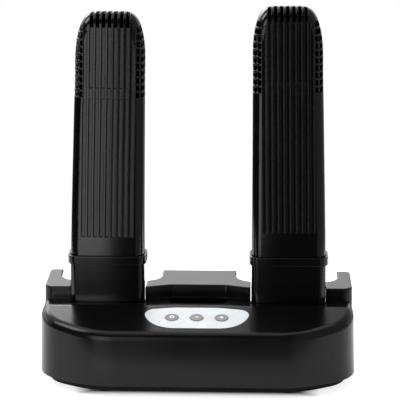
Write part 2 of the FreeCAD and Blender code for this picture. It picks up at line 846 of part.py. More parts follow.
def make_button(index):
    """Cap with a crowned rim and a stem that ends over its switch."""
    body = new_body("button_" + BUTTONS[index])
    cap = circles(sketch_on(body, "XY_Plane"), "button_diameter", [("0", "0")])
    pad(body, cap, "button_skirt + button_crown")
    high = value("button_skirt + button_crown")
    round_edges(body, "button_crown", lambda edge: level_at(edge, high))
    button_icon(body, index)
    stem = circles(sketch_on(body, "XY_Plane"), "switch_stem + 1.2", [("0", "0")])
    cap_foot = "(button_proud - button_skirt - button_crown)"
    switch_top = "(0 - board_drop + switch_height + 0.9)"
    pad(body, stem, "%s - %s" % (cap_foot, switch_top), down=True)
    return tilted(body, "0", cap_foot, button_x(index))


def make_control_board():
    body = new_body("control_board")
    sketch = rectangle(sketch_on(body, "XY_Plane"), "board_width", "board_height", "2")
    pad(body, sketch, "board_thick")
    places = [("%d * board_post_x" % side, "board_post_v") for side in (-1, 1)]
    pocket(body, circles(sketch_on(body, "XY_Plane"), "2.6", places), down=False)
    return tilted(body, "0", "0 - board_drop - board_thick")


def make_switches():
    switches = []
    for index in range(len(BUTTONS)):
        body = new_body("switch_%d" % index)
        case = rectangle(sketch_on(body, "XY_Plane"), "switch_side", "switch_side", "0.6")
        pad(body, case, "switch_height")
        stem = circles(sketch_on(body, "XY_Plane", "switch_height"), "switch_stem", [("0", "0")])
        pad(body, stem, "0.05")
        switches.append(tilted(body, "0", "0 - board_drop", button_x(index)))
    return group("button_switches", *switches)


def make_board_screws():
    screws = []
    for side in (-1, 1):
        screw = machine_screw("board_screw_%d" % (side + 1), "2.2", "4.4", "1.6", "7")
        screws.append(tilted(screw, "board_post_v", "0 - board_drop - board_thick - 1.6",
                             "%d * board_post_x" % side))
    return group("board_screws", *screws)


def make_gland():
    """Bush in the rear wall that the mains lead enters through."""
    rear = "base_depth / 2"
    sleeve = round_bar("gland_sleeve", "gland_x", rear + " - 6", "gland_z", "gland_diameter", "5.5", "Y")
    flange = round_bar("gland_flange", "gland_x", rear + " - 6", "gland_z", "gland_flange", "2.4", "Y")
    bore = round_bar("gland_bore", "gland_x", rear + " - 20", "gland_z", "gland_bore", "30", "Y")
    return cut("mains_gland", fuse("gland_solid", sleeve, flange), bore)


# ---------------------------------------------------------------- fan

FAN_FLOOR = "(skirt_bottom + cover_thick)"
HEATER_FLOOR = "(skirt_bottom + cover_thick + fan_height)"
DUCT_FLOOR = "(skirt_bottom + cover_thick + fan_height + heater_height)"


def fan_corners():
    return [("%d * fan_screw_offset" % sx, "%d * fan_screw_offset" % sy) for sx in (-1, 1) for sy in (-1, 1)]


def cross_bar(name, length, width, height, angle):
    """Level bar whose middle is over the fan's centre, turned about the vertical."""
    bar = DOC.addObject("Part::Box", name)
    bind(bar, "Length", length)
    bind(bar, "Width", width)
    bind(bar, "Height", height)
    x = "0 - (%s) / 2 * cos(%s) + (%s) / 2 * sin(%s)" % (length, angle, width, angle)
    y = "fan_y - (%s) / 2 * sin(%s) - (%s) / 2 * cos(%s)" % (length, angle, width, angle)
    return place(bar, x, y, FAN_FLOOR, (0, 0, 1), angle)


def make_fan_frame():
    """Square frame with a round bore, and a motor plate on crossed bars."""
    ring = new_body("fan_ring")
    square = rectangle(sketch_on(ring, "XY_Plane"), "fan_side", "fan_side", "fan_corner_round")
    pad(ring, square, "fan_height")
    pocket(ring, circles(sketch_on(ring, "XY_Plane"), "fan_bore", [("0", "0")]), down=False)
    pocket(ring, circles(sketch_on(ring, "XY_Plane"), "fan_screw + 0.4", fan_corners()), down=False)
    pocket(ring, circles(sketch_on(ring, "XY_Plane"), "fan_screw + 3", fan_corners()), "2",
           down=False)
    place(ring, "0", "fan_y", FAN_FLOOR)
    plate = round_bar("fan_motor_plate", "0", "fan_y", FAN_FLOOR, "motor_diameter + 4", "fan_plate")
    bars = [cross_bar("fan_bar_%s" % angle, "fan_bore + 1", "3.2", "fan_plate", angle)
            for angle in ("45", "135")]
    return fuse("fan_frame", ring, plate, *bars)


def make_fan_motor():
    motor = round_bar("motor_case", "0", "fan_y", FAN_FLOOR + " + fan_plate",
                      "motor_diameter", "motor_height")
    bore = round_bar("motor_bore", "0", "fan_y", FAN_FLOOR + " + fan_plate + 1",
                     "fan_shaft + 2 * hinge_gap", "motor_height")
    return cut("fan_motor", motor, bore)


def make_impeller():
    """Hub cup over the motor, with slanted blades in a polar pattern."""
    body = new_body("impeller")
    pad(body, circles(sketch_on(body, "XY_Plane"), "impeller_hub", [("0", "0")]), "impeller_height")
    root = "impeller_hub / 2 - 0.8"
    half_run = "(impeller_height * tan(blade_lean) / 2 - 1)"
    half_thick = "blade_thick / 2"
    low, high = "0.8", "impeller_height - 0.8"
    profile = sketch_on(body, "YZ_Plane", root)
    outline(profile, [("0 - %s - %s" % (half_run, half_thick), low, None),
                      ("0 - %s + %s" % (half_run, half_thick), low, None),
                      ("%s + %s" % (half_run, half_thick), high, None),
                      ("%s - %s" % (half_run, half_thick), high, None)])
    blade = pad(body, profile, "impeller_diameter / 2 - 0.8 - impeller_hub / 2")
    DOC.recompute()
    wheel = body.newObject("PartDesign::PolarPattern", "impeller_blades")
    wheel.Originals = [blade]
    upright_axis = [one for one in body.Origin.OriginFeatures if one.Role == "Z_Axis"][0]
    wheel.Axis = (upright_axis, [""])
    wheel.Angle = 360
    wheel.Occurrences = BLADE_COUNT
    body.Tip = wheel
    cup = circles(sketch_on(body, "XY_Plane"), "motor_diameter + 2", [("0", "0")])
    pocket(body, cup, "impeller_height - 1.6", down=False)
    return place(body, "0", "fan_y", FAN_FLOOR + " + fan_plate + 1.4")


def make_fan_shaft():
    return round_bar("fan_shaft", "0", "fan_y", FAN_FLOOR + " + fan_plate + 1.4", "fan_shaft",
                     "impeller_height - 1.6")


def make_fan_screws():
    screws = []
    for index, (x, y) in enumerate(fan_corners()):
        screw = machine_screw("fan_screw_%d" % index, "fan_screw", "fan_screw + 2.4", "1.7",
                              "fan_height + heater_height + 7")
        screws.append(place(screw, x, "fan_y + " + y, FAN_FLOOR))
    return group("fan_screws", *screws)


# ---------------------------------------------------------------- heater

def make_heater_frame():
    body = new_body("heater_frame")
    square = rectangle(sketch_on(body, "XY_Plane"), "fan_side", "fan_side", "fan_corner_round")
    pad(body, square, "heater_height")
    pocket(body, rectangle(sketch_on(body, "XY_Plane"), "heater_opening", "heater_opening"), down=False)
    pocket(body, circles(sketch_on(body, "XY_Plane"), "fan_screw + 0.4", fan_corners()), down=False)
    return place(body, "0", "fan_y", HEATER_FLOOR)


def bar_rows():
    """Formulas for the middles of the heating bars, in Y."""
    return ["(fan_y + %d * bar_pitch)" % row for row in (-1, 0, 1)]


def make_heater_bars():
    half = "heater_opening / 2"
    bars = []
    for index, y in enumerate(bar_rows()):
        bars.append(block("heater_bar_%d" % index, ("0 - " + half, half),
                          (y + " - bar_thick / 2", y + " + bar_thick / 2"),
                          (HEATER_FLOOR + " + 1", HEATER_FLOOR + " + heater_height - 1")))
    return group("heater_bars", *bars)


def fin_pack(name, low_y, high_y):
    """Upright fins in a row, joined by a thin strip along each side."""
    z = (HEATER_FLOOR + " + 1", HEATER_FLOOR + " + heater_height - 1")
    half = "(heater_opening / 2 - 0.5)"
    pieces = [block(name + "_strip_low", ("0 - " + half, half), (low_y, low_y + " + fin_thick"), z),
              block(name + "_strip_high", ("0 - " + half, half), (high_y + " - fin_thick", high_y), z)]
    count = int(value("(heater_opening - 1) / fin_pitch"))
    for index in range(count + 1):
        x = "(%d - %d / 2) * fin_pitch" % (index, count)
        pieces.append(block("%s_%d" % (name, index),
                            (x + " - fin_thick / 2", x + " + fin_thick / 2"), (low_y, high_y), z))
    return fuse(name, *pieces)


def make_heater_fins():
    rows = bar_rows()
    lows = ["fan_y - heater_opening / 2"] + [row + " + bar_thick / 2" for row in rows]
    highs = [row + " - bar_thick / 2" for row in rows] + ["fan_y + heater_opening / 2"]
    packs = [fin_pack("fin_pack_%d" % n, *pair) for n, pair in enumerate(zip(lows, highs))]
    return group("heater_fins", *packs)


def make_thermal_cutout():
    return round_bar("thermal_cutout", "fan_side / 2", "fan_y", HEATER_FLOOR + " + heater_height / 2",
                     "cutout_diameter", "cutout_length", "X")


# ---------------------------------------------------------------- air duct

def duct_outline_blocks(name, inset, low, high):
    """Middle box over the heater and the arm that runs under both necks."""
    half = "(fan_side / 2 - (%s))" % inset
    reach = "(duct_reach - (%s))" % inset
    arm = "(duct_arm_depth / 2 - (%s))" % inset
    middle = block(name + "_middle", ("0 - " + half, half),
                   ("fan_y - " + half, "fan_y + " + half), (low, high))
    run = block(name + "_arm", ("0 - " + reach, reach), ("hinge_y - " + arm, "hinge_y + " + arm), (low, high))
    return fuse(name, middle, run)


def duct_columns(name, diameter, low, height):
    return fuse(name, *[round_bar("%s_%d" % (name, n), x, "fan_y + " + y, low, diameter, height)
                        for n, (x, y) in enumerate(fan_corners())])


def make_air_duct():
    """Open-topped tray: it takes the warm air from the heater out to the two ports."""
    lid_level = "(duct_top - duct_wall)"
    walls = cut("duct_walls", duct_outline_blocks("duct_outer", "0", DUCT_FLOOR, lid_level),
                duct_outline_blocks("duct_inner", "duct_wall", DUCT_FLOOR + " + duct_wall", "duct_top"))
    columns = duct_columns("duct_columns", "8", DUCT_FLOOR, lid_level + " - " + DUCT_FLOOR)
    half = "heater_opening / 2"
    mouth = block("duct_mouth", ("0 - " + half, half), ("fan_y - " + half, "fan_y + " + half),
                  (DUCT_FLOOR + " - 1", DUCT_FLOOR + " + duct_wall + 1"))
    low_pilots = duct_columns("duct_low_pilots", "fan_screw", DUCT_FLOOR + " - 1", "8")
    high_pilots = duct_columns("duct_high_pilots", "2.2", lid_level + " - 5.5", "8")
    return cut("air_duct", fuse("duct_solid", walls, columns), mouth, low_pilots, high_pilots)


def port_window(name, side, grow, low, high):
    x = "%d * neck_x" % side
    wide = "(port_width / 2 + (%s))" % grow
    deep = "(port_depth / 2 + (%s))" % grow
    return block(name, ("%s - %s" % (x, wide), "%s + %s" % (x, wide)),
                 ("hinge_y - " + deep, "hinge_y + " + deep), (low, high))


def make_duct_cover():
    lid = duct_outline_blocks("lid_solid", "0", "duct_top - duct_wall", "duct_top")
    windows = [port_window("lid_window_%d" % (side + 1), side, "0", "0", "duct_top + 5") for side in (-1, 1)]
    return cut("duct_cover", lid, duct_columns("lid_holes", "2.6", "0", "duct_top + 5"), *windows)


def make_duct_screws():
    screws = []
    for index, (x, y) in enumerate(fan_corners()):
        screw = machine_screw("duct_screw_%d" % index, "2.2", "4.2", "1.2", "7.5")
        place(screw, x, "fan_y + " + y, "duct_top + 1.2", (1, 0, 0), "180")
        screws.append(screw)
    return group("duct_screws", *screws)


def make_duct_seals():
    """Foam rings between the duct's two ports and the undersides of the neck channels."""
    rings = []
    linings = (DOC.getObject("channel_lining_left"), DOC.getObject("channel_lining_right"))
    for side, lining in zip((-1, 1), linings):
        name = "seal_%d" % (side + 1)
        foam = port_window(name + "_foam", side, "3.5", "duct_top", "hinge_z - neck_depth / 2 + 2")
        hole = port_window(name + "_hole", side, "0", "0", "hinge_z")
        rings.append(cut(name, foam, hole, lining))
    return group("duct_seals", *rings)


# ---------------------------------------------------------------- necks and collars

def make_hinge_pins():
    """Four short steel pins, two for each neck, pressed into the channel walls."""
    pins = []
    for side in (-1, 1):
        for end in (-1, 1):
            x = "%d * neck_x + %d * neck_width / 2 - hinge_pin_length / 2" % (side, end)
            name = "hinge_pin_%d_%d" % (side + 1, end + 1)
            pins.append(round_bar(name, x, "hinge_y", "hinge_z", "hinge_pin", "hinge_pin_length", "X"))
    return group("hinge_pins", *pins)


def make_neck_left():
    """Flat-oval neck with a round foot that turns on the hinge pins, open inside for the air."""
    body = new_body("neck_left_body")
    sketch = sketch_on(body, "YZ_Plane", "0 - neck_x")
    front, rear = "hinge_y - neck_depth / 2", "hinge_y + neck_depth / 2"
    low = "hinge_z - neck_depth / 2"
    foot_round = "neck_depth / 2 - 0.01"
    outline(sketch, [(front, low, foot_round), (rear, low, foot_round),
                     (rear, "neck_top", None), (front, "neck_top", None)])
    pad(body, sketch, "neck_width", symmetric=True)
    ends = [value("0 - neck_x - neck_width / 2"), value("0 - neck_x + neck_width / 2")]

    def on_end_rim(edge):
        box = edge.BoundBox
        flat = box.XLength < 0.01 and min(abs(box.XMin - end) for end in ends) < 0.01
        return flat and not level_at(edge, value("neck_top"))

    round_edges(body, "neck_round", on_end_rim)
    bore = sketch_on(body, "XY_Plane", "neck_top")
    rectangle(bore, "spigot_width + 2 * slide_gap", "spigot_depth + 2 * slide_gap", "neck_round - neck_wall",
              "0 - neck_x", "hinge_y")
    pocket(body, bore, "neck_top - hinge_z - 13")
    port = sketch_on(body, "XY_Plane", "neck_top")
    rectangle(port, "port_width", "port_depth", None, "0 - neck_x", "hinge_y")
    pocket(body, port)
    plan = new_body("neck_plan")
    plan_sketch = sketch_on(plan, "XY_Plane", low)
    crowned_rectangle(plan_sketch, "neck_width", "neck_depth", "neck_round", "0 - neck_x", "hinge_y")
    pad(plan, plan_sketch, "neck_top - (%s)" % low)
    pin_x = "0 - neck_x - neck_width / 2 - 1"
    holes = cut("neck_pin_holes",
                round_bar("neck_pin_bar", pin_x, "hinge_y", "hinge_z", "hinge_pin + 2 * hinge_gap",
                          "neck_width + 2", "X"),
                block("neck_pin_gap", ("0 - neck_x - neck_width / 2 + 6", "0 - neck_x + neck_width / 2 - 6"),
                      ("hinge_y - 10", "hinge_y + 10"), ("hinge_z - 10", "hinge_z + 10")))
    return cut("neck_left", common("neck_form", body, plan), holes)


def make_collar_left():
    """Band on the neck's top that the tube's shoulder sinks into."""
    body = new_body("collar_left")
    centre = ("0 - neck_x", "hinge_y")
    pad(body, crowned_rectangle(sketch_on(body, "XY_Plane", "neck_top"), "collar_width", "collar_depth",
                                "collar_round", *centre), "collar_height")
    rims = (value("neck_top"), value("neck_top + collar_height"))
    round_edges(body, "0.7", lambda edge: level_at(edge, rims[0]) or level_at(edge, rims[1]))
    throat = rectangle(sketch_on(body, "XY_Plane", "neck_top + collar_height"),
                       "spigot_width + 2 * slide_gap", "spigot_depth + 2 * slide_gap",
                       "neck_round - neck_wall", *centre)
    pocket(body, throat)
    mouth = crowned_rectangle(sketch_on(body, "XY_Plane", "neck_top + collar_height"),
                              "tube_width + 2 * slide_gap", "tube_depth + 2 * slide_gap",
                              "tube_round + slide_gap - 2.5", *centre)
    pocket(body, mouth, "collar_height - collar_flange")
    return body


# ---------------------------------------------------------------- tubes

def tube_rise(drop):
    """Share of the tube's length below a level that is a given drop under the tip."""
    return "(1 - (%s) / tube_length)" % drop


def tube_axis_y(share):
    """The tube stands straight at its foot, leans back in the middle and straightens again."""
    return "(hinge_y + tube_lean * (0.8 * (3 * %s^2 - 2 * %s^3) + 0.2 * %s^2))" % (share, share, share)


def tube_depth_at(drop):
    share = tube_rise(drop)
    return ("((tube_depth + (tube_depth_top - tube_depth) * %s)"
            " * (1 - (1 - min(%s / tip_dome; 1))^2)^0.35)" % (share, drop))


def tube_width_at(drop):
    share = tube_rise(drop)
    return ("((tube_width + (tube_width_top - tube_width) * min(%s / 0.8; 1))"
            " * (1 - (1 - min(%s / tip_taper; 1))^1.5)^0.195)" % (share, drop))


def loft_through(name, sketches, straight):
    item = DOC.addObject("Part::Loft", name)
    item.Sections = sketches
    item.Solid = True
    item.Ruled = straight
    return item


def level_sketch(name, x, y, z):
    """Sketch in a level plane whose own origin is at a point."""
    return place(DOC.addObject("Sketcher::SketchObject", name), x, y, z)


def tube_loft(name, inset, lift, section=crowned_rectangle):
    """The left tube's outside, or that outside moved inwards and lifted at the foot."""
    sections = []
    for index, drop in enumerate(TUBE_DROPS):
        share = tube_rise(drop)
        z = "tube_foot + (%s) + (tube_length - (%s) - (%s)) * %s" % (lift, inset, lift, share)
        sketch = level_sketch("%s_%d" % (name, index), "0 - neck_x + tube_toe_in * " + share,
                              tube_axis_y(share), z)
        width = "(%s - 2 * (%s))" % (tube_width_at(drop), inset)
        depth = "(%s - 2 * (%s))" % (tube_depth_at(drop), inset)
        section(sketch, width, depth, "min(tube_round - (%s); %s * 0.4)" % (inset, depth))
        sections.append(sketch)
    return loft_through(name, sections, False)


def front_region():
    """Everything in front of the tube's middle surface, where the two shells meet."""
    sections = []
    levels = [("0 - spigot_length - 5", "0")]
    levels += [("tube_length * " + tube_rise(drop), tube_rise(drop)) for drop in TUBE_DROPS]
    levels += [("tube_length + 5", "1")]
    for index, (z, share) in enumerate(levels):
        sketch = level_sketch("front_region_%d" % index, "0 - neck_x", tube_axis_y(share), "tube_foot + " + z)
        outline(sketch, [("0 - 60", "0 - 80", None), ("60", "0 - 80", None), ("60", "0", None),
                         ("0 - 60", "0", None)])
        sections.append(sketch)
    return loft_through("front_region", sections, True)


def tube_block(name, x, y, z):
    """Box in the left tube's frame: x from its axis, y as in the row, z from its foot."""
    turn = "atan(tube_toe_in / tube_length)"
    item = DOC.addObject("Part::Box", name)
    for size, (low, high) in zip(("Length", "Width", "Height"), (x, y, z)):
        bind(item, size, "(%s) - (%s)" % (high, low))
    base_x = "0 - neck_x + (%s) * cos(%s) + (%s) * sin(%s)" % (x[0], turn, z[0], turn)
    base_z = "tube_foot - (%s) * sin(%s) + (%s) * cos(%s)" % (x[0], turn, z[0], turn)
    item.Placement = FreeCAD.Placement(FreeCAD.Vector(), FreeCAD.Rotation(FreeCAD.Vector(0, 1, 0), 1))
    bind(item, "Placement.Rotation.Angle", turn)
    for letter, text in zip("xyz", (base_x, y[0], base_z)):
        bind(item, "Placement.Base." + letter, text)
    return item


def groove_slabs():
    """Upright slabs, one for each groove: the outer two stop where the corners bend in."""
    slabs = []
    last = GROOVE_COUNT - 1
    for index in range(GROOVE_COUNT):
        middle = "(%d - %d) * groove_pitch" % (index, last // 2)
        high = "tube_length - outer_groove_drop" if index in (0, last) else "tube_length + 5"
        across = (middle + " - groove_width / 2", middle + " + groove_width / 2")
        slabs.append(tube_block("groove_%d" % index, across, ("0 - 60", "90"), ("groove_start", high)))
    return fuse("groove_slabs", *slabs)


def bridge_band():
    """Level band in which the middle grooves are filled almost to the brim, to tie the lands together."""
    half = "(groove_pitch * %d / 2)" % (GROOVE_COUNT - 2)
    return tube_block("bridge_band", ("0 - " + half, half), ("0 - 60", "90"), ("bridge_low", "bridge_high"))


def tip_slots():
    slots = []
    for index in range(1, GROOVE_COUNT - 1):
        middle = "(%d - %d) * groove_pitch" % (index, (GROOVE_COUNT - 1) // 2)
        half = "(groove_width / 2 - 0.4)"
        across = ("%s - %s" % (middle, half), "%s + %s" % (middle, half))
        slots.append(tube_block("tip_slot_%d" % index, across, ("0 - 60", "90"),
                                ("tube_length - tip_slot_drop", "tube_length + 5")))
    return fuse("tip_slots", *slots)


def side_vents():
    """Level slots down both sides, each wrapping the front corner."""
    vents = []
    for index in range(VENT_COUNT):
        low = "(vent_first + %d * vent_pitch)" % index
        rear = tube_axis_y("((%s + vent_height / 2) / tube_length)" % low) + " - 0.8"
        for side in (-1, 1):
            x = ("vent_inner_x", "60") if side > 0 else ("0 - 60", "0 - vent_inner_x")
            vents.append(tube_block("vent_%d_%d" % (index, side + 1), x, ("0 - 60", rear),
                                    (low, low + " + vent_height")))
    return fuse("side_vents", *vents)


def vent_ribs():
    """Thin upright wall behind each row of vents."""
    ribs = []
    for side in (-1, 1):
        x = "%d * vent_rib_x" % side
        across = (x + " - vent_rib_thick / 2", x + " + vent_rib_thick / 2")
        ribs.append(tube_block("vent_rib_%d" % (side + 1), across, ("0 - 60", "90"),
                               ("vent_first - 5", "vent_first + %d * vent_pitch" % VENT_COUNT)))
    return fuse("vent_ribs", *ribs)


def boss_axis(level):
    """Foot of one screw's axis: x and z of the point on the tube's middle line, and its share."""
    share = "(%s / tube_length)" % level
    return "0 - neck_x + tube_toe_in * " + share, "tube_foot + %s" % level, share


def boss_bars(name, diameter, start, length):
    """Bars along Y on the screws' axes, from a formula of the middle surface's y."""
    bars = []
    for index, level in enumerate(BOSS_LEVELS):
        x, z, share = boss_axis("(%s - tube_foot)" % level)
        bars.append(round_bar("%s_%d" % (name, index), x, start % tube_axis_y(share), z,
                              diameter, length, "Y"))
    return fuse(name, *bars)


def make_tube_left():
    """Front and rear shells of the left tube."""
    outside = tube_loft("tube_outside", "0", "0")
    groove_floor = tube_loft("tube_groove_floor", "groove_depth", "0 - 1", rectangle)
    inside = tube_loft("tube_inside", "tube_wall", "tube_shoulder", rectangle)
    region = front_region()
    bridged = tube_loft("tube_bridge_floor", "bridge_depth", "0 - 1", rectangle)
    bridges = common("groove_bridges", bridged, bridge_band())
    centre = ("0 - neck_x", "hinge_y")
    spigot = new_body("tube_spigot")
    pad(spigot, rectangle(sketch_on(spigot, "XY_Plane", "tube_foot - spigot_length"), "spigot_width",
                          "spigot_depth", "neck_round - neck_wall - slide_gap", *centre), "spigot_length + 1")
    bore = new_body("tube_bore")
    pad(bore, rectangle(sketch_on(bore, "XY_Plane", "tube_foot - spigot_length - 2"),
                        "spigot_width - 2 * spigot_wall", "spigot_depth - 2 * spigot_wall", "2.2", *centre),
        "spigot_length + 5")
    walls = cut("tube_walls", fuse("tube_stock", cut("tube_hollow", outside, inside), spigot), bore)
    bosses = common("tube_bosses", boss_bars("boss_bars", "tube_boss", "%s - 40", "80"), inside)
    ribs = common("tube_ribs", vent_ribs(), inside, region)
    front_bosses = common("front_bosses", bosses, region)
    rear_bosses = cut("rear_bosses", bosses, region)
    grooves = cut("grooves", groove_slabs(), groove_floor, bridges)
    front_half = cut("front_half", common("front_walls", walls, region), grooves, tip_slots(), side_vents())
    front_solid = fuse("front_solid", front_half, ribs, front_bosses)
    front = cut("tube_front_left", front_solid, boss_bars("front_pilots", "tube_screw_shank", "%s - 6", "20"))
    rear_solid = fuse("rear_solid", cut("rear_walls", walls, region), rear_bosses)
    rear = cut("tube_rear_left", rear_solid,
               boss_bars("rear_holes", "tube_screw_shank + 0.5", "%s - 10", "40"),
               boss_bars("rear_sinks", "tube_screw_head + 0.4", "%s + 10", "20"))
    return front, rear


def make_tube_screws_left():
    screws = []
    for index, level in enumerate(BOSS_LEVELS):
        x, z, share = boss_axis("(%s - tube_foot)" % level)
        screw = machine_screw("tube_screw_%d" % index, "tube_screw_shank", "tube_screw_head", "1.8", "15.5")
        screws.append(place(screw, x, tube_axis_y(share) + " + 11.8", z, (1, 0, 0), "90"))
    return group("tube_screws_left", *screws)


def raised(item):
    """Lift a right-hand tube piece to the height it is extended to."""
    bind(item, "Placement.Base.z", "right_extension")
    return item


# ---------------------------------------------------------------- the whole object

def make_all():
    base = [make_base_shell(), make_bottom_cover(), make_feet(), make_cover_screws(),
            make_control_panel(), make_control_board(), make_switches(), make_board_screws(), make_gland()]
    base += [make_button(index) for index in range(len(BUTTONS))]
    inner = [make_fan_frame(), make_fan_motor(), make_impeller(), make_fan_shaft(), make_fan_screws(),
             make_heater_frame(), make_heater_bars(), make_heater_fins(), make_thermal_cutout(),
             make_air_duct(), make_duct_cover(), make_duct_screws()]
    mirrored("channel_lining_right", DOC.getObject("channel_lining_left"))
    inner += [make_duct_seals(), make_hinge_pins()]
    neck = make_neck_left()
    collar = make_collar_left()
    tube_front, tube_rear = make_tube_left()
    screws = make_tube_screws_left()
    left = [neck, collar, tube_front, tube_rear, screws]
    right = [mirrored(item.Name.replace("left", "right"), item) for item in left]
    for item in right[2:]:
        raised(item)
    return base + inner + left + right


def check_document():
    """Stop if any object of the document failed to build."""
    for item in DOC.Objects:
        if "Invalid" in item.State or "Error" in item.State:
            raise RuntimeError("%s failed: %s" % (item.Name, item.State))


def write_parts(items):
    """Check every sub-part's shape, then write one STEP file for each."""
    os.makedirs("parts", exist_ok=True)
    for item in items:
        item.Label = item.Name
        shape = item.Shape
        if shape.isNull() or not shape.isValid():
            raise RuntimeError("%s has no valid shape" % item.Label)
        print("%-18s %2d solids %10.1f mm3" % (item.Label, len(shape.Solids), shape.Volume))
    for item in items:
        item.Shape.exportStep("parts/%s.step" % item.Label)


PIECES = make_all()
DOC.recompute()
check_document()
write_parts(PIECES)
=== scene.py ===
"""Looks of the boot dryer: materials, printed marks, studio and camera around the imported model. Metres."""

import json
import math

import bmesh
import bpy
from mathutils import Matrix, Vector


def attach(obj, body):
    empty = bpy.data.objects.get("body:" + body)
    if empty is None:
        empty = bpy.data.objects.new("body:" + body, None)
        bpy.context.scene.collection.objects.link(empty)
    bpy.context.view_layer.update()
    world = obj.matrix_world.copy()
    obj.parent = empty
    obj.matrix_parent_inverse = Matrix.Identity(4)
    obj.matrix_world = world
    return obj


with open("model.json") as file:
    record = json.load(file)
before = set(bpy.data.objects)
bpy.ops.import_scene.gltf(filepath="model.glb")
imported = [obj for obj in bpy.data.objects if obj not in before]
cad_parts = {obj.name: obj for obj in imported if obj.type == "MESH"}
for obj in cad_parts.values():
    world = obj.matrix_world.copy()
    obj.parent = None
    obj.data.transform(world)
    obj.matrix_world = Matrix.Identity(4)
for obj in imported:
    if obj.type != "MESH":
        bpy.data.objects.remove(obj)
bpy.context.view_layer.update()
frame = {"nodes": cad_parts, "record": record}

MM = 0.001
DECK_SLOPE = math.radians(11.8)

# printed marks: sizes on the cap, and how deep they start and how far they stand out
MARK_LINE = 1.1 * MM
MARK_LENGTH = 4.0 * MM
MARK_LOW = -0.24 * MM
MARK_HIGH = 0.03 * MM
RING_DIAMETER = 4.7 * MM
RING_GAP = 2.1 * MM
RING_BAR_LENGTH = 2.3 * MM
RING_BAR_Y = 1.9 * MM

# the finish that the record gives each CAD node
NODE_SLOTS = {row["node"]: row["material_slot"] for row in frame["record"]["subparts"]}


# ---------------------------------------------------------------- scene helpers

def add_object(name, data):
    """New object in the scene."""
    item = bpy.data.objects.new(name, data)
    bpy.context.scene.collection.objects.link(item)
    return item


def mesh_data(name, mesh):
    """Mesh data from an edited mesh, which is freed."""
    data = bpy.data.meshes.new(name)
    mesh.to_mesh(data)
    mesh.free()
    return data


def look_at(item, spot, target):
    """Stand a lamp or camera at a spot and turn it to a target."""
    item.location = spot
    item.rotation_mode = "QUATERNION"
    item.rotation_quaternion = (Vector(target) - Vector(spot)).to_track_quat("-Z", "Y")


# ---------------------------------------------------------------- shader helpers

def new_material(name):
    """Empty material with a principled shader: the material, its tree and that shader."""
    material = bpy.data.materials.new(name)
    material.use_nodes = True
    tree = material.node_tree
    return material, tree, tree.nodes["Principled BSDF"]


def node(tree, kind, **settings):
    """Add a node and set its properties, or its inputs by name."""
    item = tree.nodes.new(kind)
    for name, setting in settings.items():
        if hasattr(item, name):
            setattr(item, name, setting)
        else:
            item.inputs[name.replace("_", " ")].default_value = setting
    return item


def link(tree, source, target):
    tree.links.new(source, target)


def set_shader(shader, **values):
    """Set the shader's inputs that are the same all over."""
    for name, setting in values.items():
        shader.inputs[name.replace("_", " ")].default_value = setting


def colour(red, green, blue):
    return (red, green, blue, 1.0)


def grey(level):
    return colour(level, level, level)


def shade(base, factor):
    """The same hue, lighter or darker."""
    return colour(*(channel * factor for channel in base[:3]))


def row_coordinates(tree):
    """Position in the row's own coordinates."""
    return node(tree, "ShaderNodeTexCoord").outputs["Object"]


def noise(tree, scale, detail=3.0, stretch=(1, 1, 1)):
    """Noise in the row's own coordinates, finer along an axis where its stretch is larger."""
    mapping = node(tree, "ShaderNodeMapping", Scale=stretch)
    texture = node(tree, "ShaderNodeTexNoise", Scale=scale, Detail=detail)
    link(tree, row_coordinates(tree), mapping.inputs["Vector"])
    link(tree, mapping.outputs["Vector"], texture.inputs["Vector"])
    return texture.outputs["Fac"]


def spread(tree, source, low, high, start=0.3, end=0.7, interpolation="LINEAR"):
    """Map the values from start to end, by default a texture's usual range, to those from low to high."""
    item = node(tree, "ShaderNodeMapRange", interpolation_type=interpolation,
                From_Min=start, From_Max=end, To_Min=low, To_Max=high)
    link(tree, source, item.inputs["Value"])
    return item.outputs["Result"]


def maths(tree, operation, *sources):
    """Result of a sum on one or two values."""
    item = node(tree, "ShaderNodeMath", operation=operation)
    for socket, source in zip(item.inputs, sources):
        link(tree, source, socket)
    return item.outputs["Value"]


def blend_colours(tree, factor, first, second):
    """Mix two colours, each a fixed one or a node's output."""
    item = node(tree, "ShaderNodeMix", data_type="RGBA")
    link(tree, factor, item.inputs["Factor"])
    for socket, setting in (("A", first), ("B", second)):
        target = [one for one in item.inputs if one.name == socket and one.type == "RGBA"][0]
        if isinstance(setting, tuple):
            target.default_value = setting
        else:
            link(tree, setting, target)
    return [one for one in item.outputs if one.type == "RGBA"][0]


def soft_edges(tree, radius):
    """Normal that rolls over every edge by a small radius, as moulded parts have."""
    return node(tree, "ShaderNodeBevel", samples=8, Radius=radius).outputs["Normal"]


def edge_mask(tree, radius):
    """1 on sharp edges and 0 on flats, from the cosine between the rolled normal and the true one."""
    geometry = node(tree, "ShaderNodeNewGeometry")
    product = node(tree, "ShaderNodeVectorMath", operation="DOT_PRODUCT")
    link(tree, soft_edges(tree, radius), product.inputs[0])
    link(tree, geometry.outputs["Normal"], product.inputs[1])
    return spread(tree, product.outputs["Value"], low=1.0, high=0.0, start=0.72, end=0.98)


def bump(tree, shader, height, depth, strength=1.0, normal=None):
    """Relief on the shader's normal, over another normal where one is given."""
    item = node(tree, "ShaderNodeBump", Strength=strength, Distance=depth)
    link(tree, height, item.inputs["Height"])
    if normal is not None:
        link(tree, normal, item.inputs["Normal"])
    link(tree, item.outputs["Normal"], shader.inputs["Normal"])


# ---------------------------------------------------------------- kinds of material

